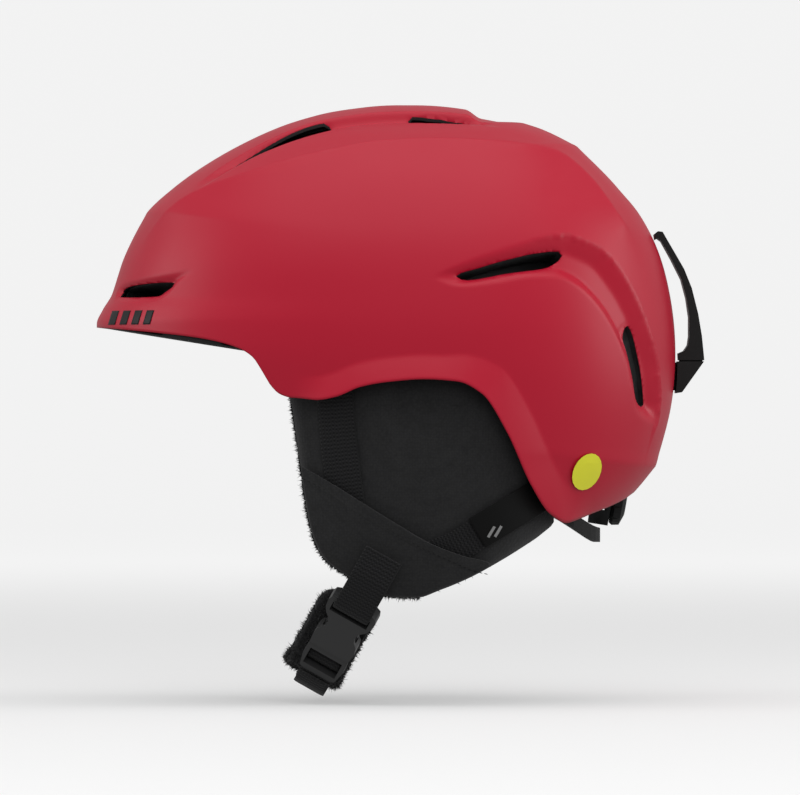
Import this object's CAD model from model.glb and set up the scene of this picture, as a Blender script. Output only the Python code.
"""A ski helmet's looks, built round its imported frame. Lengths in the tables below are millimetres.

The frame: +Z is up, -Y is the front, +X is the wearer's left, and the origin is in the middle of the
head's space.
"""

import bpy
import numpy as np
from mathutils import Matrix, Vector


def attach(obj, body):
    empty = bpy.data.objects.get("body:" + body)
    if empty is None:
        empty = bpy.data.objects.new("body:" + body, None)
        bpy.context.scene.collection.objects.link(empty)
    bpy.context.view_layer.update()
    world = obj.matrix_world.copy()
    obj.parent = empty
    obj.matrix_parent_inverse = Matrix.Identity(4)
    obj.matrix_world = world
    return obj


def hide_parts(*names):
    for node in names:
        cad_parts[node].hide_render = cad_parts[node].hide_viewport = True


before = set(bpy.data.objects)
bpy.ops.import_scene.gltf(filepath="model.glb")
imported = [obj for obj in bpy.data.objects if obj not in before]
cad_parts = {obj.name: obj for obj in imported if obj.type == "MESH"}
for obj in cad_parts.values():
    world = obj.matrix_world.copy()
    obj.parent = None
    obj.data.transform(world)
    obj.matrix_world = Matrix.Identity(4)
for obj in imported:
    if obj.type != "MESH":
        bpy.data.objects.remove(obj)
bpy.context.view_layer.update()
MM = 0.001
rng = np.random.default_rng(7)

# ---------------------------------------------------------------- driving dimensions
PLAN_SQUARE = 0.2
SHELL_WALL = 1.6
FOAM_GAP = 1.5
SLIP_GAP = 2.2
SLIP_WALL = 1.2
BAND_HEIGHT = 3.1  # of the raised band along the crown
CHANNEL_LINE = [(-110, 49.5), (-84, 46), (-60, 43), (-38, 41), (-10, 38), (45, 36.5)]  # y and x
CHANNEL_HALF = 4.5
CHANNEL_DEPTH = 1.8
SWEEP_DEPTH = 4.2  # of the channel that sweeps from the side vent round to the back
LIP_WIDTHS = [(15, 9.5), (43, 14.5)]  # of the flared lip over the ear, at y
LIP_FLARE = 4.6
BRIM_REACH = 0.92  # how far round the trim under the brim goes, in radians
BAR_FIRST, BAR_PITCH, BAR_LOW = -142, 5.7, -2.6  # the brim's marks
BAR_WIDTH, BAR_HEIGHT, BAR_SLANT = 3.4, 6.6, 2.0
FRONT_OUTLINE = [
    (0, 98.5), (23.8, 97.5), (44.2, 94.2), (62.2, 89.5), (76, 84.3), (97, 73.4), (112.6, 62.2),
    (123.9, 52), (124.9, 50.8), (125.6, 49.5), (131.1, 39.4), (136.3, 28), (138.9, 20), (141.5, 12),
    (146, 4.5), (148.7, -2), (148, -14), (133, -36), (108, -62), (85, -85),
]
BACK_OUTLINE = [
    (0, 98.5), (20, 97.6), (42, 93.8), (52.4, 93.35), (54.2, 93.2), (55.8, 92.7), (61.8, 90.7),
    (77.2, 83.25), (79.3, 82.2), (80.8, 80.7), (98.8, 62.2), (108.3, 50.8), (117.3, 33.7), (123.5, 10.9),
    (125.9, -11.9), (124, -40.4), (118.3, -63.2), (117.2, -67.6), (116.6, -69.4), (115.3, -71),
    (106.4, -81.7), (92, -95),
]
SIDE_OUTLINE = [
    (0, 98.5), (40, 92.5), (60, 84), (80, 67), (94, 43), (101.5, 15), (103.5, -8), (102.5, -28),
    (98, -58), (90, -90),
]
FOAM_FRONT = [
    (0, 74), (20, 73), (48, 68.5), (78, 58), (100, 40.5), (111, 19), (113, -2), (108, -28), (90, -60),
]
FOAM_BACK = [
    (0, 74), (32, 71.5), (62, 62), (86, 40), (99.5, 9), (102.5, -9.7), (102.5, -33), (101.5, -58),
    (92, -92),
]
FOAM_SIDE = [
    (0, 74), (31, 71), (47, 65), (63, 52.5), (75, 34), (81, 12), (82.5, -8), (82, -28), (79, -58),
    (74, -80),
]
SHELL_EDGE = [
    (-150, -3.5), (-119, -6.5), (-96, -9.5), (-80, -13.8), (-73.3, -17.9), (-68.5, -25), (-64.6, -31.4),
    (-60.4, -35.3), (-55, -36.9), (-44, -37), (-33, -35), (-22, -30.6), (-10, -28.4), (6, -27.2),
    (21, -28.2), (32, -33.8), (43.5, -51.4), (54.7, -75.6), (63, -88), (72, -92.9), (80, -92.6),
    (89, -90), (101, -85), (107, -81.5), (130, -78),
]
FOAM_EDGE = [
    (-150, -1), (-119, -3.8), (-96, -6), (-80, -9), (-70, -11), (-61, -14.5), (-52, -21), (-30, -21),
    (-10, -19), (6, -18.5), (25, -19), (42, -26), (57, -50), (67, -74), (74, -86), (80, -88),
    (88, -85), (97, -79), (130, -72),
]
SLIP_EDGE = [
    (-130, 8), (-95, 4), (-60, -6), (-20, -9), (20, -9), (50, -14), (75, -22), (90, -26), (120, -28),
]
TRIM_LINE = [(-150, -3.2), (-77, -14.7), (0, -26.6)]
EAR_OUTLINE = [
    (-56, -33), (-54, -48), (-50.8, -70.5), (-48.5, -86.8), (-45.3, -101.7), (-39.7, -112.4),
    (-31.3, -118.8), (-20, -125.5), (-8, -130), (3, -130.2), (14, -126.6), (27.8, -120.8), (40, -114.2),
    (52, -107), (62, -100.2), (67.4, -94.5), (66, -87), (58.5, -73), (48, -50), (38, -31), (26, -24.2),
    (6, -23), (-20, -24.5), (-44, -27.5),
]
EAR_CENTRE = (3, -74)
FLAP_OUTLINE = [
    (-51, -68.5), (-48.2, -87), (-45, -101.5), (-39.2, -112.2), (-31, -118.4), (-20, -125), (-8, -129.4),
    (3, -129.6), (13.8, -126), (27.5, -120.2), (37.4, -114.6), (23, -110), (8.7, -104.2), (-6, -95.6),
    (-20, -87), (-36, -77),
]
FLAP_CENTRE = (-15, -106)
# Lines on the shell, seen from the side, as (y, z).
TOP_CREASE = [
    (-124, 38), (-112, 50.5), (-95, 60.2), (-80.6, 65), (-59.2, 71.6), (-32.8, 77.7), (-14.1, 81),
    (12.7, 82.2), (39.6, 81.2), (66.5, 77.4), (82, 66), (98, 44),
]
SWEEP_UPPER = [
    (9.5, 19.5), (25, 26), (40, 31), (54, 35.3), (63, 37.5), (72.4, 38), (82, 35), (89.5, 31),
    (98, 21), (105, 9.3), (111.6, -6.6), (116, -23), (117, -39), (115.4, -50),
]
SWEEP_LOWER = [
    (9.5, 18), (23.7, 14.4), (40, 16.4), (56.4, 19), (68.5, 18.7), (76.6, 15.5), (84.9, 8.4),
    (91.7, -0.4), (97.3, -10.9), (101.5, -21.2), (104, -33), (106.2, -43.1), (114.6, -50),
]
BROW_RECESS = [
    (-139, 9.4), (-137, 15.5), (-128, 18.6), (-112, 21.5), (-99.4, 23), (-108, 17), (-114, 11),
    (-120, 8.6), (-130, 8.2),
]
SIDE_VENT = [
    (21.7, 20), (32.5, 23.9), (44.5, 27.5), (60.5, 31.2), (68, 32), (70.6, 31.8), (71.5, 30.6), (70.7, 28.7),
    (68, 26.4), (63.6, 24.2), (45, 21.2), (26.1, 18.1),
]
REAR_VENT = [
    (103.9, -3.5), (101.9, -6), (101.4, -9.2), (103, -14.8), (106, -26.9), (108.6, -39.8),
    (110.4, -41.6), (111.9, -40.4), (110.6, -26.9), (108, -14.8), (105.2, -5.5),
]
BROW_VENT = [
    (-137.2, 10.6), (-135.8, 14), (-132.5, 15.6), (-127.4, 16.4), (-119.8, 17.1), (-112.6, 17.3),
    (-111.2, 16.2), (-114.7, 13.2), (-118.5, 10.6), (-127.4, 10.3),
]
# Vents seen from above, as (x, y).
TOP_FRONT_VENT = [
    (45.4, -83), (47.2, -81), (47.2, -68), (46.2, -56), (44.8, -45), (43.2, -38.5), (40, -36.8), (37, -40),
    (38, -52), (40, -64), (43.4, -77),
]
TOP_REAR_VENT = [
    (35.2, -0.8), (38, -0.6), (39.6, 2), (40, 9), (40.2, 17), (39.8, 26), (38, 35), (35.4, 32),
    (34.4, 18), (34, 6), (34, 1),
]


# ---------------------------------------------------------------- curves and surfaces
def smooth(points):
    """A smooth curve through points that doesn't overshoot them."""
    xs, ys = np.array(points, float).T
    step = np.diff(xs)
    slope = np.diff(ys) / step
    lean = np.concatenate([slope[:1], np.zeros(len(xs) - 2), slope[-1:]])
    for i in range(1, len(xs) - 1):
        if slope[i - 1] * slope[i] > 0:
            u, v = 2 * step[i] + step[i - 1], step[i] + 2 * step[i - 1]
            lean[i] = (u + v) / (u / slope[i - 1] + v / slope[i])

    def curve(x):
        x = np.clip(x, xs[0], xs[-1])
        i = np.clip(np.searchsorted(xs, x, side="right") - 1, 0, len(step) - 1)
        t = (x - xs[i]) / step[i]
        return (
            (2 * t**3 - 3 * t**2 + 1) * ys[i]
            + (t**3 - 2 * t**2 + t) * step[i] * lean[i]
            + (3 * t**2 - 2 * t**3) * ys[i + 1]
            + (t**3 - t**2) * step[i] * lean[i + 1]
        )

    return curve


def by_elevation(outline):
    rows = sorted((np.arctan2(z, out), np.hypot(out, z)) for out, z in outline)
    return smooth(rows)


def dome(front, back, side):
    """The radius of a dome at an azimuth (0 is the front) and an elevation."""
    f, b, s = (by_elevation(outline) for outline in (front, back, side))

    def radius(azimuth, elevation):
        c = np.cos(azimuth)
        power = 2 + PLAN_SQUARE * np.cos(elevation) ** 2
        along = np.abs(c / np.where(c > 0, f(elevation), b(elevation))) ** power
        across = np.abs(np.sin(azimuth) / s(elevation)) ** power
        return (along + across) ** (-1 / power)

    return radius


shell_dome = dome(FRONT_OUTLINE, BACK_OUTLINE, SIDE_OUTLINE)
foam_dome = dome(FOAM_FRONT, FOAM_BACK, FOAM_SIDE)


def direction(azimuth, elevation):
    flat = np.cos(elevation)
    return np.stack(
        [flat * np.sin(azimuth), -flat * np.cos(azimuth), np.sin(elevation)], axis=-1
    )


def point_on(surface, azimuth, elevation):
    return surface(azimuth, elevation)[..., None] * direction(azimuth, elevation)


def on_surface(surface, a, b, axis):
    """A surface's points, from two of their coordinates, on the side that axis points to."""
    near = np.zeros(len(a))
    far = np.full(len(a), 200.0)
    others = [i for i in range(3) if i != axis]
    p = np.empty((len(a), 3))
    p[:, others[0]], p[:, others[1]] = a, b
    for _ in range(40):
        p[:, axis] = (near + far) / 2
        azimuth = np.arctan2(p[:, 0], -p[:, 1])
        elevation = np.arctan2(p[:, 2], np.hypot(p[:, 0], p[:, 1]))
        inside = np.linalg.norm(p, axis=1) < surface(azimuth, elevation)
        near = np.where(inside, p[:, axis], near)
        far = np.where(inside, far, p[:, axis])
    return p


def edge_elevation(surface, edge, azimuth):
    """The elevation at which a surface meets a lower edge that is drawn from the side."""

    def above(elevation):
        p = point_on(surface, azimuth, elevation)
        return p[..., 2] - edge(p[..., 1])

    high = np.full(azimuth.shape, np.radians(60))
    low = high - np.radians(1)
    for _ in range(150):
        go = above(low) > 0
        high = np.where(go, low, high)
        low = np.where(go, low - np.radians(1), low)
    for _ in range(30):
        middle = (high + low) / 2
        up = above(middle) > 0
        high, low = np.where(up, middle, high), np.where(up, low, middle)
    return (high + low) / 2


def lengths(path):
    """How far along a path each of its points is."""
    return np.concatenate([[0], np.cumsum(np.linalg.norm(np.diff(path, axis=0), axis=1))])


def sideways(path):
    """Unit directions at right angles to a flat path, on its left."""
    t = np.gradient(path, axis=0)
    t /= np.linalg.norm(t, axis=1)[:, None]
    return np.stack([-t[:, 1], t[:, 0]], 1)


def rounded(points, count, closed=False):
    """count points evenly spaced along a smooth curve through the given ones."""
    p = np.array(points, float)
    if closed:
        p = np.vstack([p, p[:1]])
    along = lengths(p)
    if closed:
        reach = np.concatenate([along[:-1] - along[-1], along, along[1:] + along[-1]])
        p = np.vstack([p[:-1], p, p[1:]])
    else:
        reach = along
    fine = np.linspace(0, along[-1], count * 8, endpoint=not closed)
    curve = np.stack([smooth(np.stack([reach, p[:, k]], 1))(fine) for k in range(p.shape[1])], 1)
    gone = lengths(curve)
    at = np.linspace(0, gone[-1], count, endpoint=not closed)
    return np.stack([np.interp(at, gone, curve[:, k]) for k in range(p.shape[1])], 1)


def ramp(t):
    t = np.clip(t, 0, 1)
    return t * t * (3 - 2 * t)


def bevel(d, width, soft=1.0):
    """From 0 to 1 over a width, straight between two slightly rounded edges."""
    def rise(t):
        t = np.maximum(t, 0)
        return np.where(t < soft, t**2 / (2 * soft), t - soft / 2)

    return (rise(d) - rise(d - width)) / width


def distance(points, line):
    """From each point to a line of points in space."""
    best = np.full(len(points), np.inf)
    for a, b in zip(line[:-1], line[1:]):
        d = b - a
        t = np.clip((points - a) @ d / (d @ d), 0, 1)
        best = np.minimum(best, np.linalg.norm(points - a - t[:, None] * d, axis=1))
    return best


def within(points, polygon):
    """Whether flat points lie within a polygon."""
    inside = np.zeros(len(points), bool)
    a = np.array(polygon, float)
    b = np.roll(a, -1, axis=0)
    for (ax, ay), (bx, by) in zip(a, b):
        crosses = (ay > points[:, 1]) != (by > points[:, 1])
        at = ax + (points[:, 1] - ay) * (bx - ax) / (by - ay if by != ay else 1e-9)
        inside ^= crosses & (points[:, 0] < at)
    return inside


def line_on_shell(line, count):
    flat = rounded(line, count)
    return on_surface(shell_dome, flat[:, 0], flat[:, 1], 0)


# ---------------------------------------------------------------- meshes
def make(name, vertices, faces, material=None, soft=True):
    mesh = bpy.data.meshes.new(name)
    mesh.from_pydata((np.asarray(vertices, float) * MM).tolist(), [], [list(f) for f in faces])
    mesh.validate()
    if soft:
        mesh.shade_smooth()
    obj = bpy.data.objects.new(name, mesh)
    bpy.context.collection.objects.link(obj)
    if material:
        mesh.materials.append(material)
    return obj


def skin_faces(rows, columns, start, ring, flip):
    i = np.arange(rows - 1)[:, None]
    j = np.arange(columns if ring else columns - 1)[None, :]
    k = (j + 1) % columns
    quads = np.stack(
        [i * columns + j, i * columns + k, (i + 1) * columns + k, (i + 1) * columns + j], -1
    ).reshape(-1, 4)
    return (quads[:, ::-1] if flip else quads) + start


def between(name, outer, inner, ring=False, top=False, material=None):
    """A closed solid between two grids of points, (rows, columns, 3). A ring's last row can be its top."""
    rows, columns = outer.shape[:2]
    total = rows * columns
    faces = [
        *skin_faces(rows, columns, 0, ring, False),
        *skin_faces(rows, columns, total, ring, True),
    ]
    a = np.arange(total).reshape(rows, columns)
    b = a + total

    def wall(p, q, closed):
        for j in range(len(p) if closed else len(p) - 1):
            k = (j + 1) % len(p)
            faces.append((q[j], q[k], p[k], p[j]))

    wall(a[0], b[0], ring)
    if top:
        faces.append(list(a[-1]))
        faces.append(list(b[-1][::-1]))
    else:
        wall(a[-1][::-1], b[-1][::-1], ring)
    if not ring:
        wall(a[::-1, 0], b[::-1, 0], False)
        wall(a[:, -1], b[:, -1], False)
    return make(name, np.vstack([outer.reshape(-1, 3), inner.reshape(-1, 3)]), faces, material)


def dome_rows(surface, edge, columns, rows):
    azimuth = np.arange(columns) / columns * 2 * np.pi
    low = edge_elevation(surface, edge, azimuth)
    t = (np.arange(rows) / (rows - 1))[:, None]
    elevation = low + t * (np.radians(89.7) - low)
    return np.broadcast_to(azimuth, elevation.shape), elevation


def prism(points, towards, out, depth):
    """A cutter: a closed line of points, swept both ways along a direction."""
    d = np.array(towards, float)
    d /= np.linalg.norm(d)
    n = len(points)
    vertices = np.vstack([points + d * out, points - d * depth])
    turn = np.cross(points, np.roll(points, -1, axis=0)).sum(0) @ d
    faces = [list(range(n)), list(range(2 * n - 1, n - 1, -1))]
    faces += [[i, i + n, (i + 1) % n + n, (i + 1) % n] for i in range(n)]
    if turn < 0:
        faces = [f[::-1] for f in faces]
    return vertices, faces


def mirrored(vertices, faces, side):
    if side > 0:
        return vertices, faces
    return vertices * [-1, 1, 1], [list(f)[::-1] for f in faces]


def mirrored_cutters(name, prisms):
    return make(name, *join([mirrored(v, f, side) for v, f in prisms for side in (1, -1)]), soft=False)


def cut(obj, cutter):
    modifier = obj.modifiers.new("cut", "BOOLEAN")
    modifier.operation = "DIFFERENCE"
    modifier.object = cutter
    modifier.solver = "MANIFOLD"
    apply_modifiers(obj)


def apply_modifiers(obj):
    evaluated = obj.evaluated_get(bpy.context.evaluated_depsgraph_get())
    mesh = bpy.data.meshes.new_from_object(evaluated)
    obj.modifiers.clear()
    obj.data = mesh


def remove(obj):
    bpy.data.objects.remove(obj, do_unlink=True)


def join(parts):
    """Several (vertices, faces) as one mesh's."""
    vertices, faces, start = [], [], 0
    for v, f in parts:
        vertices.append(v)
        faces += [[start + k for k in g] for g in f]
        start += len(v)
    return np.vstack(vertices), faces


def finish_piece(obj, body, slot, *nodes):
    """A piece rides on a body, takes a slot of the record's and stands for CAD nodes."""
    if nodes:
        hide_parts(*nodes)
    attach(obj, body)


# ---------------------------------------------------------------- materials
def material(name, color, roughness, gloss=0.5):
    made = bpy.data.materials.new(name)
    made.use_nodes = True
    shader = made.node_tree.nodes["Principled BSDF"]
    shader.inputs["Base Color"].default_value = (*color, 1)
    shader.inputs["Roughness"].default_value = roughness
    shader.inputs["Specular IOR Level"].default_value = gloss
    return made


def node(tree, kind, **values):
    made = tree.nodes.new(kind)
    for key, value in values.items():
        if key in made.inputs:
            made.inputs[key].default_value = value
        else:
            setattr(made, key, value)
    return made


def coordinates(tree, which="Object"):
    return tree.nodes.new("ShaderNodeTexCoord").outputs[which]


def bump(made, heights, strength, reach):
    """Adds bumps from a list of height outputs, each on top of the last. reach is in millimetres."""
    tree = made.node_tree
    shader = tree.nodes["Principled BSDF"]
    normal = None
    for height in heights:
        b = node(tree, "ShaderNodeBump", Strength=strength, Distance=reach * MM)
        tree.links.new(height, b.inputs["Height"])
        if normal:
            tree.links.new(normal, b.inputs["Normal"])
        normal = b.outputs["Normal"]
    tree.links.new(normal, shader.inputs["Normal"])


def maths(tree, operation, *values):
    made = node(tree, "ShaderNodeMath", operation=operation)
    for socket, value in zip(made.inputs, values):
        if isinstance(value, (int, float)):
            socket.default_value = value
        else:
            tree.links.new(value, socket)
    return made.outputs[0]


def texture(tree, kind, **values):
    """A texture in the object's own coordinates."""
    made = node(tree, kind, **values)
    tree.links.new(coordinates(tree), made.inputs["Vector"])
    return made.outputs


def noise(tree, scale, detail=3.0):
    return texture(tree, "ShaderNodeTexNoise", Scale=scale, Detail=detail)["Fac"]


def vary(made, socket, factor, low, high):
    """A shader's number runs from low to high with a texture."""
    tree = made.node_tree
    spread = node(tree, "ShaderNodeMapRange")
    spread.inputs["To Min"].default_value = low
    spread.inputs["To Max"].default_value = high
    tree.links.new(factor, spread.inputs["Value"])
    tree.links.new(spread.outputs["Result"], tree.nodes["Principled BSDF"].inputs[socket])


def tint(made, factor, dark, light):
    tree = made.node_tree
    mix = node(tree, "ShaderNodeMix", data_type="RGBA")
    mix.inputs["A"].default_value = (*dark, 1)
    mix.inputs["B"].default_value = (*light, 1)
    tree.links.new(factor, mix.inputs["Factor"])
    tree.links.new(mix.outputs["Result"], tree.nodes["Principled BSDF"].inputs["Base Color"])


def shell_paint():
    made = material("shell_paint", (0.402, 0.0024, 0.021), 0.42, 0.36)
    tree = made.node_tree
    vary(made, "Roughness", noise(tree, 60), 0.38, 0.47)
    bump(made, [noise(tree, 1400, 2)], 0.05, 0.05)
    return made


def plastic(name, color, rough, gloss=0.5):
    made = material(name, color, rough, gloss)
    tree = made.node_tree
    vary(made, "Roughness", noise(tree, 300), rough - 0.05, rough + 0.08)
    bump(made, [noise(tree, 2600, 3)], 0.25, 0.06)
    return made


def bead_foam():
    made = material("bead_foam", (0.03, 0.03, 0.031), 0.85)
    tree = made.node_tree
    cells = texture(tree, "ShaderNodeTexVoronoi", Scale=260.0)
    edges = texture(tree, "ShaderNodeTexVoronoi", Scale=260.0, feature="DISTANCE_TO_EDGE")
    tint(made, cells["Distance"], (0.022, 0.022, 0.023), (0.045, 0.045, 0.046))
    bump(made, [edges["Distance"]], 0.6, 0.4)
    return made


def fabric(name, color, roughness, gloss, sheen, sheen_roughness):
    made = material(name, color, roughness, gloss)
    shader = made.node_tree.nodes["Principled BSDF"]
    shader.inputs["Sheen Weight"].default_value = sheen
    shader.inputs["Sheen Roughness"].default_value = sheen_roughness
    return made


def knit():
    """Dark knitted fabric: small soft loops, a little uneven."""
    made = fabric("knit", (0.014, 0.014, 0.014), 0.92, 0.15, 0.1, 0.6)
    tree = made.node_tree
    cells = texture(tree, "ShaderNodeTexVoronoi", Scale=820.0, Randomness=0.55)["Distance"]
    cloud = noise(tree, 120, 4)
    shade = maths(tree, "MULTIPLY_ADD", cloud, 0.5, maths(tree, "MULTIPLY", cells, 0.6))
    tint(made, shade, (0.024, 0.024, 0.0245), (0.008, 0.008, 0.0085))
    bump(made, [cells, cloud], 0.4, 0.3)
    return made


def pile():
    made = fabric("pile", (0.008, 0.008, 0.009), 0.95, 0.1, 0.12, 0.5)
    tree = made.node_tree
    tint(made, noise(tree, 500, 5), (0.004, 0.004, 0.0045), (0.016, 0.016, 0.0165))
    bump(made, [noise(tree, 700, 5)], 0.9, 0.9)
    return made


def woven():
    """Webbing: rows of small raised threads, each row shifted and slanted, from the strap's own UV map."""
    made = fabric("woven", (0.014, 0.014, 0.015), 0.8, 0.15, 0.05, 0.5)
    tree = made.node_tree
    split = tree.nodes.new("ShaderNodeSeparateXYZ")
    tree.links.new(coordinates(tree, "UV"), split.inputs[0])
    fold = maths(tree, "PINGPONG", split.outputs["X"], 2.1)
    slanted = maths(tree, "MULTIPLY_ADD", fold, 0.2, split.outputs["Y"])
    rows = maths(tree, "SINE", maths(tree, "MULTIPLY", slanted, 3.5))
    threads = maths(tree, "SINE", maths(tree, "MULTIPLY", split.outputs["X"], 4.1))
    dots = maths(tree, "MULTIPLY_ADD", rows, threads, 0)
    height = maths(tree, "MULTIPLY_ADD", rows, 0.5, maths(tree, "MULTIPLY", dots, 0.6))
    shade = maths(tree, "MULTIPLY_ADD", height, 0.45, 0.5)
    tint(made, shade, (0.003, 0.003, 0.0033), (0.019, 0.019, 0.0195))
    bump(made, [height, noise(tree, 1500, 2)], 0.6, 0.25)
    return made


PAINT = shell_paint()
BLACK = plastic("black_plastic", (0.026, 0.026, 0.0265), 0.42, 0.4)
TRIM = plastic("brim_plastic", (0.014, 0.014, 0.0145), 0.6, 0.2)
FIT = plastic("fit_plastic", (0.007, 0.007, 0.0072), 0.6, 0.2)
ARM = plastic("retainer_plastic", (0.008, 0.008, 0.008), 0.38, 0.25)
SLIP = plastic("slip_plastic", (0.02, 0.02, 0.021), 0.35)
BADGE = plastic("badge_yellow", (0.68, 0.67, 0.035), 0.35, 0.3)
MARK = plastic("mark_black", (0.008, 0.008, 0.0085), 0.4, 0.2)
GREY_MARK = plastic("mark_grey", (0.2, 0.2, 0.2), 0.5)
PATCH = plastic("sleeve_rubber", (0.004, 0.004, 0.004), 0.5, 0.12)
FOAM = bead_foam()
KNIT = knit()
PILE = pile()
WEB = woven()
THREAD = plastic("thread", (0.012, 0.012, 0.0125), 0.8, 0.1)

# ---------------------------------------------------------------- shell
shell_edge = smooth(SHELL_EDGE)
channel_line = smooth(CHANNEL_LINE)


CREASE_HEIGHT, CREASE_SPREAD = 3.0, 12
SWEEP_LOWER_BEVEL, SWEEP_UPPER_BEVEL = 5.5, 7
SWEEP_RIDGE = 0.9
RECESS_DEPTH, RECESS_BEVEL = 2.7, 4
VENT_ROUND, VENT_ROUND_WIDTH = 0.7, 2.2


def relief(p):
    """How far the shell stands out from its plain dome, in millimetres, at points on the dome."""
    x, y, z = np.abs(p[:, 0]), p[:, 1], p[:, 2]
    q = np.stack([x, y, z], 1)
    side = q[:, 1:]
    top = ramp((z - 30) / 25)
    beside = x - channel_line(y)
    band = ramp((-beside - 1) / 4.5) * ramp((y + 100) / 70) * ramp((34 - y) / 9)
    channel = np.clip(1 - (beside / CHANNEL_HALF) ** 2, 0, 1)
    channel = channel * ramp((y + 100) / 14) * ramp((44 - y) / 14)
    height = top * (BAND_HEIGHT * band - CHANNEL_DEPTH * channel)
    crease = distance(q, line_on_shell(TOP_CREASE, 50))
    height += CREASE_HEIGHT * np.exp(-np.sqrt(crease**2 + 0.4) / CREASE_SPREAD) * ramp((y + 132) / 30)
    upper, lower = line_on_shell(SWEEP_UPPER, 60), line_on_shell(SWEEP_LOWER, 60)
    inside = within(side, np.vstack([rounded(SWEEP_UPPER, 60), rounded(SWEEP_LOWER, 60)[::-1]]))
    from_lower, from_upper = distance(q, lower), distance(q, upper)
    sunk = bevel(from_lower, SWEEP_LOWER_BEVEL) * bevel(from_upper, SWEEP_UPPER_BEVEL)
    height -= SWEEP_DEPTH * inside * sunk
    above = ~inside & (from_upper < from_lower)
    height += SWEEP_RIDGE * np.exp(-from_upper / SWEEP_UPPER_BEVEL) * above * ramp((y - 48) / 24)
    ring = rounded(BROW_RECESS, 48, closed=True)
    recess = on_surface(shell_dome, ring[:, 0], ring[:, 1], 0)
    hollow = within(side, ring) & (x > 12)
    height -= RECESS_DEPTH * hollow * bevel(distance(q, np.vstack([recess, recess[:1]])), RECESS_BEVEL)
    lip = edge_line(q)
    low = ramp((y + 56) / 22) * ramp((86 - y) / 20)
    width = np.interp(y, *zip(*LIP_WIDTHS))
    height += low * LIP_FLARE * (1 - bevel(lip, width))
    for outline, axis, *_ in CUTS:
        rim = vent_line(outline, axis)
        rim[:, 0] = np.abs(rim[:, 0])
        near = distance(q, np.vstack([rim, rim[:1]]))
        height -= VENT_ROUND * np.clip(1 - near / VENT_ROUND_WIDTH, 0, 1) ** 2
    return height


def edge_line(q):
    azimuth = np.linspace(0, np.pi, 150)
    edge = point_on(shell_dome, azimuth, edge_elevation(shell_dome, shell_edge, azimuth))
    return distance(q, edge)


def vent_line(polygon, axis, count=36):
    ring = rounded(polygon, count, closed=True)
    return on_surface(shell_dome, ring[:, 0], ring[:, 1], axis)


CUT_START = 14  # how far outside the shell each cutter starts
CUTS = [  # each vent's line, the direction it is cut in and how deep
    (SIDE_VENT, 0, (0.95, 0.18, 0.22), 40),
    (REAR_VENT, 0, (0.85, 0.5, -0.05), 9),
    (BROW_VENT, 0, (0.85, -0.5, 0.1), 46),
    (TOP_FRONT_VENT, 2, (0.3, -0.2, 0.9), 40),
    (TOP_REAR_VENT, 2, (0.35, 0.05, 0.93), 40),
]


def vent_cutters(name, cuts):
    return mirrored_cutters(name, [
        prism(vent_line(line, axis), towards, CUT_START, depth) for line, axis, towards, depth in cuts
    ])


vents = vent_cutters("vents", CUTS)
for finish in (PAINT, BLACK):
    vents.data.materials.append(finish)
vents.data.polygons.foreach_set("material_index", [1] * len(vents.data.polygons))
columns, rows = ((560, 190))
azimuth, elevation = dome_rows(shell_dome, shell_edge, columns, rows)
plain = point_on(shell_dome, azimuth, elevation)
out = direction(azimuth, elevation)
raised = relief(plain.reshape(-1, 3)).reshape(azimuth.shape)[..., None]
shell = between(
    "shell_skin", plain + out * raised, plain + out * (raised - SHELL_WALL), ring=True, top=True,
    material=PAINT,
)
shell.data.materials.append(BLACK)
half = (rows - 1) * columns
inside = [half <= i < 2 * half for i in range(len(shell.data.polygons))]
shell.data.polygons.foreach_set("material_index", [int(i) for i in inside])
cut(shell, vents)
finish_piece(shell, "helmet", "shell_red", "outer_shell")


def liner(name, outer, inner, edge, columns, rows, finish):
    azimuth, elevation = dome_rows(outer, edge, columns, rows)
    far = point_on(outer, azimuth, elevation)
    azimuth, elevation = dome_rows(inner, edge, columns, rows)
    near = point_on(inner, azimuth, elevation)
    return between(name, far, near, ring=True, top=True, material=finish)


def inset(surface, depth):
    return lambda azimuth, elevation: surface(azimuth, elevation) - depth


POCKET_HALF, POCKET_FRONT, POCKET_BACK = 43, 60, 110  # room in the foam for the dial's housing
POCKET_Z, POCKET_REACH = -86, 34
DIAL_POCKET = np.array([
    (-POCKET_HALF, POCKET_FRONT, POCKET_Z), (POCKET_HALF, POCKET_FRONT, POCKET_Z),
    (POCKET_HALF, POCKET_BACK, POCKET_Z), (-POCKET_HALF, POCKET_BACK, POCKET_Z),
])
foam = liner(
    "bead_liner", inset(shell_dome, SHELL_WALL + FOAM_GAP + 2), foam_dome, smooth(FOAM_EDGE), 160, 60, FOAM
)
cut(foam, vents)
pocket = make(
    "dial_pocket", *prism(DIAL_POCKET, (0, 0, 1), POCKET_REACH, POCKET_REACH), soft=False
)
cut(foam, pocket)
remove(pocket)
finish_piece(foam, "helmet", "foam_black", "foam_liner")
slip = liner(
    "slip_skin", inset(foam_dome, SLIP_GAP), inset(foam_dome, SLIP_GAP + SLIP_WALL), smooth(SLIP_EDGE),
    120, 44, SLIP,
)
slip_cuts = vent_cutters("slip_cuts", CUTS[2:])  # the slip layer runs on behind the side vents
cut(slip, slip_cuts)
finish_piece(slip, "slip", "slip_plastic", "slip_layer")
remove(vents)
remove(slip_cuts)


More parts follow.
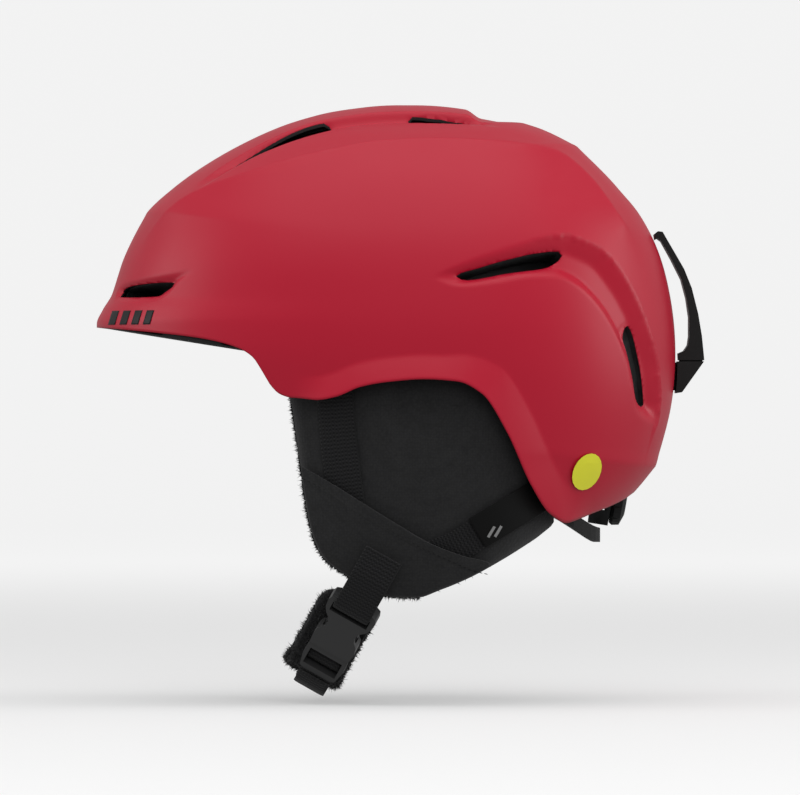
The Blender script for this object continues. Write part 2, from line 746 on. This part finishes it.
# ---------------------------------------------------------------- trim under the brim
def brim_trim():
    """A lip that closes the wedge between the brim's edge and the trim's line."""
    line = smooth(TRIM_LINE)
    azimuth = np.linspace(-BRIM_REACH, BRIM_REACH, 120)
    edge = point_on(shell_dome, azimuth, edge_elevation(shell_dome, shell_edge, azimuth))
    rim = edge * [1, 1, 0]
    length = np.linalg.norm(rim, axis=1)[:, None]

    def row(back, z):
        p = rim * (1 - back / length)
        p[:, 2] = z(p[:, 1])
        return p

    def top(y):
        return shell_edge(y) + 2.2

    def half_way(y):
        return (shell_edge(y) + line(y)) / 2

    def rows(offsets):
        return [row(back, lambda y, up=up: line(y) + up) for back, up in offsets]

    near = [row(2.4, top), row(2.2, half_way)]
    near += rows([(2.2, 0.9), (2.6, 0.25), (3.4, 0), (14, 0), (26, 0)])
    far = [row(3.6, top), row(3.6, lambda y: half_way(y) + 0.3)]
    far += rows([(3.6, 1.8), (3.8, 1.7), (4.4, 1.5), (14, 1.5), (26, 1.5)])
    return between("brim_lip", np.array(near), np.array(far), material=TRIM)


finish_piece(brim_trim(), "helmet", "black_plastic", "brim_trim")


def slab(name, half_width, rows, near, far):
    """A thin rubber sheet across the middle: near and far shift it to its two faces."""
    grid = np.array([rows + [x, 0, 0] for x in np.linspace(-half_width, half_width, 8)])
    return between(name, grid + near, grid + far, material=PATCH)


def retainer_seal():
    """A thin rubber strip that fills the joint between the retainer's arm and its base."""
    rows = np.stack([np.zeros(12), np.linspace(128, 138.6, 12), np.zeros(12)], 1)
    return slab("retainer_seal", 10.6, rows, [0, 0, -19.13], [0, 0, -19.67])


def retainer_foot():
    """A rubber pad between the retainer's base and the shell."""
    rows = np.stack([np.zeros(12), np.zeros(12), np.linspace(-33.4, -20.2, 12)], 1)
    return slab("retainer_foot", 8.5, rows, [0, 126.3, 0], [0, 124.6, 0])


finish_piece(retainer_seal(), "helmet", "black_rubber")
finish_piece(retainer_foot(), "helmet", "black_rubber")


# ---------------------------------------------------------------- marks on the brim
def brim_marks():
    """Four plain slanted bars on each side of the brim."""
    u, v = np.meshgrid(np.linspace(0, 1, 7), np.linspace(0, 1, 11))
    parts = []
    for side in (1, -1):
        for k in range(4):
            y = BAR_FIRST + k * BAR_PITCH
            across = (y + BAR_WIDTH * u + BAR_SLANT * v).ravel()
            p = on_surface(shell_dome, across, (BAR_LOW + BAR_HEIGHT * v).ravel(), 0)
            away = p / np.linalg.norm(p, axis=1)[:, None]
            p += away * relief(p)[:, None]
            face = skin_faces(11, 7, 0, False, False)
            rim = [*range(7), *range(13, 77, 7), *range(75, 69, -1), *range(63, 0, -7)]
            faces = [list(f) for f in face] + [[77 + i for i in f[::-1]] for f in face]
            faces += [[rim[i], 77 + rim[i], 77 + rim[(i + 1) % len(rim)], rim[(i + 1) % len(rim)]]
                      for i in range(len(rim))]
            parts.append(mirrored(np.vstack([p + away * 0.25, p + away * 0.02]), faces, side))
    return make("brim_marks", *join(parts), MARK)


finish_piece(brim_marks(), "helmet", "black_plastic")


# ---------------------------------------------------------------- soft pieces
def cushion(
    name, outline, centre, settle, half, edge, side=1, finish=None, extra=None, points=150, rows=22
):
    """A closed pad: thin at its outline, full thickness an edge's width further in.

    settle turns flat points and a height into places; half is half the pad's thickness.
    """
    ring = rounded(outline, points, closed=True)
    centre = np.array(centre, float)
    far, near = [], []
    for k in range(rows):
        s = 1 - 0.985 * (k / (rows - 1)) ** 1.6
        flat = centre + s * (ring - centre)
        inward = (1 - s) * np.linalg.norm(ring - centre, axis=1)
        full = np.sqrt(1 - (1 - np.clip(inward / edge, 0.02, 1)) ** 2) * half
        lift = extra(flat) if extra else 0
        far.append(settle(flat, full + lift))
        near.append(settle(flat, -full))
    obj_far, obj_near = np.array(far), np.array(near)
    a, b = obj_far.reshape(-1, 3), obj_near.reshape(-1, 3)
    n = len(a)
    grid = np.arange(n).reshape(rows, points)
    faces = skin_faces(rows, points, 0, True, False).tolist()
    faces += [[n + i for i in f[::-1]] for f in skin_faces(rows, points, 0, True, False)]
    for j in range(points):
        k = (j + 1) % points
        faces.append([n + grid[0, j], n + grid[0, k], grid[0, k], grid[0, j]])
    faces.append(list(grid[-1]))
    faces.append([n + i for i in grid[-1][::-1]])
    v, f = mirrored(np.vstack([a, b]), faces, side)
    return make(name, v, f, finish)


def strap(name, settle, along, width, thick, finish, side=1):
    """Webbing: settle(row, across, height) gives a row's places. Its UVs are its own millimetres."""
    m = 30
    turn = np.arange(m) / m * 2 * np.pi
    across = np.sign(np.cos(turn)) * np.abs(np.cos(turn)) ** 0.35 * width / 2
    height = np.sign(np.sin(turn)) * np.abs(np.sin(turn)) ** 0.5 * thick / 2
    rows = len(along)
    vertices = np.vstack([settle(i, across, height) for i in range(rows)])
    faces = skin_faces(rows, m, 0, True, False).tolist()
    faces += [list(range(m))[::-1], list(range((rows - 1) * m, rows * m))]
    v, f = mirrored(vertices, faces, side)
    obj = make(name, v, f, finish)
    uv = np.stack([np.tile(across + width / 2, rows), np.repeat(along, m)], 1)
    layer = obj.data.uv_layers.new(name="weave")
    index = np.empty(len(obj.data.loops), int)
    obj.data.loops.foreach_get("vertex_index", index)
    layer.data.foreach_set("uv", uv[index].ravel())
    return obj


def stitches(name, path, away, length, gap, radius, finish, side=1):
    """Short threads laid end to end along a path of close points."""
    gone = lengths(path)
    parts = []
    starts = np.arange(0.5, gone[-1] - length, length + gap)
    for start in starts:
        at = np.linspace(start, start + length, 5)
        p = np.stack([np.interp(at, gone, path[:, k]) for k in range(3)], 1)
        up = np.stack([np.interp(at, gone, away[:, k]) for k in range(3)], 1)
        along = (p[-1] - p[0]) / np.linalg.norm(p[-1] - p[0])
        cross = np.cross(along, up)
        size = radius * np.array([0.35, 0.95, 1, 0.95, 0.35])
        ring = [
            p + (cross * np.cos(a) + up * np.sin(a)) * size[:, None] + up * (size - 0.4 * radius)[:, None]
            for a in np.arange(6) / 6 * 2 * np.pi
        ]
        grid = np.stack(ring, 1).reshape(-1, 3)
        faces = skin_faces(5, 6, 0, True, True).tolist()
        faces += [list(range(6)), list(range(29, 23, -1))]
        parts.append((grid, faces))
    v, f = mirrored(*join(parts), side)
    return make(name, v, f, finish)


def fibres(name, roots, directions, lengths, radius, finish, side=1):
    """Pile: a bent, tapered, three-sided strand from each root."""
    n = len(roots)
    towards = directions / np.linalg.norm(directions, axis=1)[:, None]
    bend = rng.normal(size=(n, 3)) * 0.45
    a = np.cross(towards, rng.normal(size=(n, 3)))
    a /= np.linalg.norm(a, axis=1)[:, None]
    b = np.cross(towards, a)
    middle = roots + towards * lengths[:, None] * 0.5
    tip = roots + (towards + bend) * lengths[:, None]
    corners = []
    for centre, size in ((roots - towards * 0.4, 1.0), (middle, 0.8)):
        for k in range(3):
            turn = k * 2 * np.pi / 3
            corners.append(centre + (a * np.cos(turn) + b * np.sin(turn)) * radius * size)
    vertices = np.stack([*corners, tip], 1).reshape(-1, 3)
    one = [(2, 1, 0), (0, 1, 4, 3), (1, 2, 5, 4), (2, 0, 3, 5), (3, 4, 6), (4, 5, 6), (5, 3, 6)]
    faces = [[7 * i + c for c in f] for i in range(n) for f in one]
    v, f = mirrored(vertices, faces, side)
    return make(name, v, f, finish)


# ---------------------------------------------------------------- ear pads
def ear_x(y, z):
    return 95 - 0.0033 * (y - 5) ** 2 - 0.0024 * (z + 40) ** 2 - 0.0108 * np.maximum(0, y - 30) ** 2


def on_ear(middle):
    return lambda flat, h: np.stack(
        [ear_x(flat[..., 0], flat[..., 1]) + middle + h, flat[..., 0], flat[..., 1]], -1
    )


def ear_strap(name, line, width, thick, middle, side, finish=WEB):
    path = rounded(line, 40)
    across = sideways(path)
    settle = on_ear(middle)
    return strap(
        name, lambda i, u, h: settle(path[i] + across[i] * u[:, None], h), lengths(path), width, thick,
        finish, side,
    )


HEM_LINE = [
    (-51.1, -69), (-36, -77), (-20.1, -87.4), (-6, -95.8), (7.8, -103.1), (23, -110), (29.3, -112.6),
    (37, -114.4),
]
FRONT_STRAP = [(-35.6, -23.5), (-33.4, -55), (-29.6, -85.7), (-28, -97)]
REAR_STRAP = [(64, -80), (57.6, -84), (38, -96), (18, -107.8), (9, -111)]
SLEEVE = [(61, -82), (58.6, -83.4), (44.8, -91.7), (31, -99.9)]
PILE_MIDDLE, PILE_HALF = -11.65, 3.2  # the fleece's place under the ear pad's outer face


def hem(flat):
    """The flap's upper edge is turned over: a raised band with a seam below it."""
    edge = rounded(HEM_LINE, 60)
    d = distance(np.column_stack([flat, np.zeros(len(flat))]), np.column_stack([edge, np.zeros(60)]))
    return 0.55 * np.clip(1 - (d / 4.6) ** 4, 0, 1) - 0.35 * np.exp(-(((d - 5.2) / 0.8) ** 2))


def pile_roots(count, outline, middle, half):
    """Roots all over the fleece's inner face, and more round its rim."""
    ring = rounded(outline, 400, closed=True)
    shaggy = np.flatnonzero(ring[:, 0] < 4)  # the rear edge is bound smooth
    pick = rng.choice(shaggy, count)
    t = np.roll(ring, -1, axis=0) - np.roll(ring, 1, axis=0)
    normal = np.stack([t[:, 1], -t[:, 0]], 1)
    normal /= np.linalg.norm(normal, axis=1)[:, None]
    if ((ring - ring.mean(0)) * normal).sum() < 0:
        normal = -normal
    h = rng.uniform(-half, half * 0.9, count)
    flat = ring[pick] - normal[pick] * rng.uniform(0.2, 1.4, count)[:, None]
    rim = on_ear(middle)(flat, h)
    rim_way = np.column_stack([h / half * 0.8, normal[pick] + rng.normal(size=(count, 2)) * 0.35])
    lo, hi = ring.min(0), ring.max(0)
    face = rng.uniform(lo, hi, (count * 2, 2))
    face = face[within(face, ring) & (face[:, 0] < 40)]
    inner = on_ear(middle)(face, -half)
    inner_way = np.column_stack([-np.ones(len(face)), rng.normal(size=(len(face), 2)) * 0.6])
    return np.vstack([rim, inner]), np.vstack([rim_way, inner_way])


PILE_COUNT = 6500
for name, side in (("left", 1), ("right", -1)):
    pad = cushion(f"ear_cover_{name}", EAR_OUTLINE, EAR_CENTRE, on_ear(-4), 4, 5, side, KNIT)
    finish_piece(pad, "helmet", "ear_fabric", f"ear_pad_{name}")
    pad = cushion(
        f"ear_pile_{name}", EAR_OUTLINE, EAR_CENTRE, on_ear(PILE_MIDDLE), PILE_HALF, 3.5, side, PILE
    )
    finish_piece(pad, "helmet", "fleece", f"ear_fleece_{name}")
    roots, ways = pile_roots(PILE_COUNT, EAR_OUTLINE, PILE_MIDDLE, 3.0)
    strands = fibres(f"ear_strands_{name}", roots, ways, rng.uniform(0.7, 1.9, len(roots)), 0.3, PILE, side)
    finish_piece(strands, "helmet", "fleece")
    flap = cushion(
        f"ear_panel_{name}", FLAP_OUTLINE, FLAP_CENTRE, on_ear(3.2), 0.7, 0.9, side, KNIT, hem, 220, 44
    )
    finish_piece(flap, "helmet", "ear_fabric", f"ear_flap_{name}")
    seam = rounded(HEM_LINE, 160) + [0.5, -5.0]
    thread = stitches(
        f"flap_thread_{name}", on_ear(3.75)(seam, 0), np.tile([1.0, 0, 0], (160, 1)),
        1.9, 0.8, 0.2, THREAD, side,
    )
    finish_piece(thread, "helmet", "webbing")
    front = ear_strap(f"front_web_{name}", FRONT_STRAP, 16.8, 1.4, 1.3, side)
    finish_piece(front, "helmet", "webbing", f"front_strap_{name}")
    rear = ear_strap(f"rear_web_{name}", REAR_STRAP, 14.5, 1.4, 1.3, side)
    finish_piece(rear, "helmet", "webbing", f"rear_strap_{name}")
    sleeve = ear_strap(f"web_sleeve_{name}", SLEEVE, 15.9, 1.0, 2.75, side, PATCH)
    finish_piece(sleeve, "helmet", "black_rubber", f"strap_sleeve_{name}")
    marks = [
        ear_strap(
            f"sleeve_bar_{name}_{k}",
            [(36.2 + 3.2 * k, -101.8 + 0.2 * k), (39.2 + 3.2 * k, -96.8 + 0.2 * k)],
            1.3, 0.3, 3.4, side, GREY_MARK,
        )
        for k in (0, 1)
    ]
    for mark in marks:
        finish_piece(mark, "helmet", "black_rubber")


# ---------------------------------------------------------------- comfort pads
PAD_RADIUS = 85  # turns the pads' flat millimetres into angles
BROW_ELEVATION, SIDE_ELEVATION = 13.5, 16


def on_dome(surface, elevation):
    """Flat millimetres round the inside of a dome, from the front, at an elevation in degrees."""
    def settle(flat, h):
        az = flat[..., 0] / (PAD_RADIUS * np.cos(np.radians(elevation)))
        el = np.radians(elevation) + flat[..., 1] / PAD_RADIUS
        return direction(az, el) * (surface(az, el) + h)[..., None]
    return settle


def pill(a0, a1, b0, b1, corner):
    """A flat rectangle with rounded corners."""
    points = []
    for cx, cy, start in ((a1 - corner, b1 - corner, 0), (a0 + corner, b1 - corner, 90),
                          (a0 + corner, b0 + corner, 180), (a1 - corner, b0 + corner, 270)):
        for turn in np.radians([start, start + 45, start + 90]):
            points.append((cx + corner * np.cos(turn), cy + corner * np.sin(turn)))
    return points


pad_dome = inset(foam_dome, SLIP_GAP + SLIP_WALL + 2 + 3)
reach = np.radians(58) * PAD_RADIUS * np.cos(np.radians(BROW_ELEVATION))
rise = np.radians(6.5) * PAD_RADIUS
brow = cushion(
    "brow_cushion", pill(-reach, reach, -rise, rise, 6), (0, 0), on_dome(pad_dome, BROW_ELEVATION),
    3, 4, 1, KNIT, points=260,
)
finish_piece(brow, "slip", "ear_fabric", "brow_pad")
for name, side in (("left", 1), ("right", -1)):
    turn = PAD_RADIUS * np.cos(np.radians(SIDE_ELEVATION))
    middle, half = np.radians(90) * turn, np.radians(24) * turn
    rise = np.radians(10) * PAD_RADIUS
    pad = cushion(
        f"side_cushion_{name}", pill(middle - half, middle + half, -rise, rise, 7), (middle, 0),
        on_dome(pad_dome, SIDE_ELEVATION), 3, 4, side, KNIT,
    )
    finish_piece(pad, "slip", "ear_fabric", f"side_pad_{name}")


def crown_cushion():
    surface = inset(foam_dome, SLIP_GAP + SLIP_WALL + 3 + 3)
    turn = np.arange(24) / 24 * 2 * np.pi
    az = np.arange(120) / 120 * 2 * np.pi
    el = np.radians(76 + 8 * np.cos(turn))
    grid = np.array([
        direction(np.full(24, a), el) * (surface(np.full(24, a), el) + 3 * np.sin(turn))[:, None]
        for a in az
    ])
    faces = []
    for i in range(120):
        for j in range(24):
            k, m = (i + 1) % 120, (j + 1) % 24
            faces.append([i * 24 + j, k * 24 + j, k * 24 + m, i * 24 + m])
    return make("crown_cushion", grid.reshape(-1, 3), faces, KNIT)


crown = crown_cushion()
finish_piece(crown, "slip", "ear_fabric", "crown_pad")


# ---------------------------------------------------------------- bands that follow a line
def ribbon(line, count):
    """A smooth flat line: its points, its outward directions and its length so far."""
    path = rounded(line, count)
    return path, sideways(path), lengths(path)


def along_line(path, normal, at, h):
    """Points at a place that is counted in a path's points, and h off it."""
    i = np.clip(at.astype(int), 0, len(path) - 2)
    t = (at - i)[..., None]
    return path[i] * (1 - t) + path[i + 1] * t + normal[i] * np.asarray(h)[..., None]


# ---------------------------------------------------------------- the fit system's nape pad
CRADLE = Matrix.Translation(Vector((0, 98, -82))) @ Matrix.Rotation(np.radians(-9), 4, "X")


def placed(frame_matrix, p):
    """Points from a part's own frame to the helmet's, in millimetres."""
    m = np.array(frame_matrix)
    return p @ m[:3, :3].T + m[:3, 3]


NAPE_HALF = 37  # half the pad's length
nape_line, nape_normal, _ = ribbon([(-32, -29), (-17, -18.6), (0, -15.4), (17, -18.6), (32, -29)], 60)


def on_nape(flat, h):
    at = np.clip((flat[..., 0] + NAPE_HALF) / (2 * NAPE_HALF) * 59, 0, 59)
    p = along_line(nape_line, nape_normal, at, h)
    return placed(CRADLE, np.stack([p[..., 0], p[..., 1], 1 + flat[..., 1]], -1))


nape = cushion("nape_cushion", pill(-NAPE_HALF, NAPE_HALF, -13, 13, 8), (0, 0), on_nape, 2.5, 4, 1, KNIT)
finish_piece(nape, "cradle", "ear_fabric", "nape_pad")

# ---------------------------------------------------------------- chin strap
STRAP = Matrix.Translation(Vector((0, -13.1, -111.8))) @ Matrix.Rotation(np.radians(-29.5), 4, "X")


def on_strap(path, normal, i, across, height):
    p = path[i] + normal[i] * height[:, None]
    return placed(STRAP, np.stack([p[:, 0], across, p[:, 1]], -1))


def chin_web(name, line, width, count, body, *nodes, thick=1.4):
    path, normal, along = ribbon(line, count)
    piece = strap(name, lambda i, u, h: on_strap(path, normal, i, u, h), along, width, thick, WEB)
    finish_piece(piece, body, "webbing", *nodes)


def buckle_line(points):
    """From the buckle's own x and z to the strap's."""
    lean = np.radians(34.5)
    return [
        (77.5 + x * np.cos(lean) + z * np.sin(lean), -23.5 - x * np.sin(lean) + z * np.cos(lean))
        for x, z in points
    ]


CHEEK_WEB = [  # down the cheek, over the socket's bar, into its slot and turned back
    (91.2, 2), (90.4, -10), (87, -18), (83.8, -24), (81, -28.6), (78.2, -30.2), (74.6, -28.9),
    (72, -26.2), (71.6, -23.4),
]
chin_web("cheek_web", CHEEK_WEB, 18.6, 110, "strap_left", "chin_web_left")
RIGHT_WEB = [
    (-89.6, 2), (-89.6, -10), (-78, -28), (-57, -54), (-36, -65), (0, -68.5), (24, -68.3), (38, -66.6),
    (46.5, -60.8),
]
chin_web("chin_web", RIGHT_WEB, 16.4, 120, "strap_right", "chin_web_right")
chin_web("web_tail", [(55, -64.8), (49, -68.6), (41, -70.2)], 16, 20, "insert", "strap_tail")
LOCK_WEB = [
    (-4.4, -45), (-3.4, -42.2), (-0.2, -40.4), (1.1, -37.6), (0.4, -35), (-2.6, -33.9), (-4.6, -34.6),
]
chin_web("lock_web", buckle_line(LOCK_WEB), 16.2, 50, "insert", thick=1.1)
PAD_FRONT, PAD_BACK = -16.5, 11.8  # the chin pad's edges across the strap
CHIN_PAD = [(67.5, -22.7), (56.7, -38.5), (45, -55.6), (36, -61.3), (18, -62.6), (-12, -62.8)]
chin_path, chin_normal, chin_along = ribbon(CHIN_PAD, 120)


def on_chin(flat, h):
    at = np.interp(flat[..., 0], chin_along, np.arange(120.0))
    p = along_line(chin_path, chin_normal, at, h)
    return placed(STRAP, np.stack([p[..., 0], flat[..., 1], p[..., 1]], -1))


chin_length = chin_along[-1]
PAD_CORNER = 9
chin_outline = pill(0, chin_length, PAD_FRONT, PAD_BACK, PAD_CORNER)
pad_shift = (PAD_FRONT + PAD_BACK) / 2
pad = cushion(
    "chin_cushion", chin_outline, (chin_length / 2, pad_shift), on_chin, 3.3, 4, 1, PILE, points=200
)
finish_piece(pad, "strap_right", "fleece", "chin_pad")


def chin_strands(count):
    turn = rng.uniform(0, 2 * np.pi, count)
    along = rng.uniform(1, chin_length - 1, count)
    from_end = np.abs(along - chin_length / 2) - chin_length / 2 + PAD_CORNER
    width = (PAD_BACK - PAD_FRONT) / 2 * np.sqrt(1 - np.clip(from_end / PAD_CORNER, 0, 0.98) ** 2)
    u = np.sign(np.cos(turn)) * np.abs(np.cos(turn)) ** 0.5 * (width - 0.6)
    h = np.sign(np.sin(turn)) * np.abs(np.sin(turn)) ** 0.7 * 3.1
    roots = on_chin(np.stack([along, u + pad_shift], 1), h)
    middle = on_chin(np.stack([along, u * 0.85 + pad_shift], 1), h * 0)
    ways = roots - middle
    ways /= np.linalg.norm(ways, axis=1)[:, None]
    return roots, ways + rng.normal(size=(count, 3)) * 0.35


roots, ways = chin_strands(PILE_COUNT)
strands = fibres("chin_strands", roots, ways, rng.uniform(0.8, 2.0, len(roots)), 0.3, PILE)
finish_piece(strands, "strap_right", "fleece")

# ---------------------------------------------------------------- hard pieces that keep their CAD shape
def both(*names):
    return [f"{name}_{side}" for name in names for side in ("left", "right")]


HARD = {
    FIT: [
        "retainer_plug", "dial_housing", "height_stem", "height_rail", "nape_yoke", "fit_dial",
        "dial_pinion", *both("cradle_band", "temple_band", "rack"),
    ],
    BLACK: [
        "buckle_socket", "buckle_insert", "buckle_prong_front", "buckle_prong_rear",
        *both("strap_anchor_front", "strap_anchor_rear", "strap_divider"),
    ],
    ARM: ["retainer_arm", "retainer_base"],
    BADGE: ["round_badge"],
    PATCH: both("slip_stud_front", "slip_stud_rear"),
}
ROUNDING = {"buckle_socket": 0.9, "buckle_insert": 0.6, "retainer_arm": 0.7}
for finish, names in HARD.items():
    for name in names:
        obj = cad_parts[name]
        obj.data.materials.clear()
        obj.data.materials.append(finish)
        edge = obj.modifiers.new("rounding", "BEVEL")
        edge.width = ROUNDING.get(name, 0.35) * MM
        edge.segments = 3
        edge.limit_method = "ANGLE"
        edge.angle_limit = np.radians(35)

# ---------------------------------------------------------------- camera, light and floor
FLOOR_Z = -0.181
FLOOR_REACH, CURVE_RADIUS, WALL_HEIGHT = 5.5, 2.0, 4.0
PAPER_GLOW = (0.34, 0.67)  # under the helmet and far from the lights
GLOW_REACH = (0.3, 3.6)  # the distances from the origin over which the glow changes
camera_data = bpy.data.cameras.new("camera")
camera_data.lens = 379
camera_data.sensor_width = 36
camera_data.clip_end = 50
camera = bpy.data.objects.new("camera", camera_data)
bpy.context.collection.objects.link(camera)
camera.location = (4.0, -0.00475, -0.0368)
camera.rotation_euler = Vector((-1, 0, 0)).to_track_quat("-Z", "Y").to_euler()
bpy.context.scene.camera = camera
bpy.context.scene.view_settings.view_transform = "Standard"


def backdrop():
    """A round floor that curves up into a wall, well outside any camera's place."""
    turn = np.linspace(0, np.pi / 2, 16)[1:]
    profile = [(r, 0) for r in (0.1, 0.4, 0.8, 1.4, 2.2, 3.3, 4.4, FLOOR_REACH)]
    profile += [(FLOOR_REACH + CURVE_RADIUS * np.sin(a), CURVE_RADIUS * (1 - np.cos(a))) for a in turn]
    profile.append((FLOOR_REACH + CURVE_RADIUS, WALL_HEIGHT))
    count = 96
    around = np.linspace(0, 2 * np.pi, count, endpoint=False)
    vertices = [
        (r * np.cos(a) / MM, r * np.sin(a) / MM, (FLOOR_Z + z) / MM) for r, z in profile for a in around
    ]
    faces = [list(range(count))]
    for row in range(len(profile) - 1):
        for i in range(count):
            j = (i + 1) % count
            faces.append([row * count + i, (row + 1) * count + i, (row + 1) * count + j, row * count + j])
    paper = material("backdrop_paper", (0.48, 0.48, 0.48), 0.9, 0.0)
    tree = paper.node_tree
    shader = tree.nodes["Principled BSDF"]
    shader.inputs["Emission Color"].default_value = (1, 1, 1, 1)
    away = node(tree, "ShaderNodeVectorMath", operation="LENGTH")
    tree.links.new(coordinates(tree), away.inputs[0])
    glow = node(tree, "ShaderNodeMapRange", interpolation_type="SMOOTHSTEP")
    for socket, value in zip(("From Min", "From Max", "To Min", "To Max"), (*GLOW_REACH, *PAPER_GLOW)):
        glow.inputs[socket].default_value = value
    tree.links.new(away.outputs["Value"], glow.inputs["Value"])
    tree.links.new(glow.outputs["Result"], shader.inputs["Emission Strength"])
    return make("backdrop", vertices, faces, paper)


paper = backdrop()
paper.visible_glossy = False
paper.visible_diffuse = False


def softbox(name, place, target, size, power, glossy=True):
    data = bpy.data.lights.new(name, "AREA")
    data.shape = "RECTANGLE"
    data.size, data.size_y = size
    data.energy = power
    light = bpy.data.objects.new(name, data)
    light.visible_glossy = glossy
    bpy.context.collection.objects.link(light)
    light.location = place
    light.rotation_euler = (Vector(target) - Vector(place)).to_track_quat("-Z", "Y").to_euler()


softbox("overhead", (0.5, 0, 1.6), (0, 0, 0), (2.4, 2.4), 22)
softbox("front_rim", (0.1, -1.7, 0.4), (0, 0, 0), (1.0, 1.2), 8)
softbox("rear_rim", (0.1, 1.7, 0.4), (0, 0, -0.05), (1.0, 1.2), 12)
softbox("fill", (2.8, 0.3, 1.0), (0, 0, -0.05), (1.8, 1.4), 27, glossy=False)
world = bpy.data.worlds.new("studio")
world.use_nodes = True
world.node_tree.nodes["Background"].inputs["Color"].default_value = (1, 1, 1, 1)
world.node_tree.nodes["Background"].inputs["Strength"].default_value = 0.42
bpy.context.scene.world = world
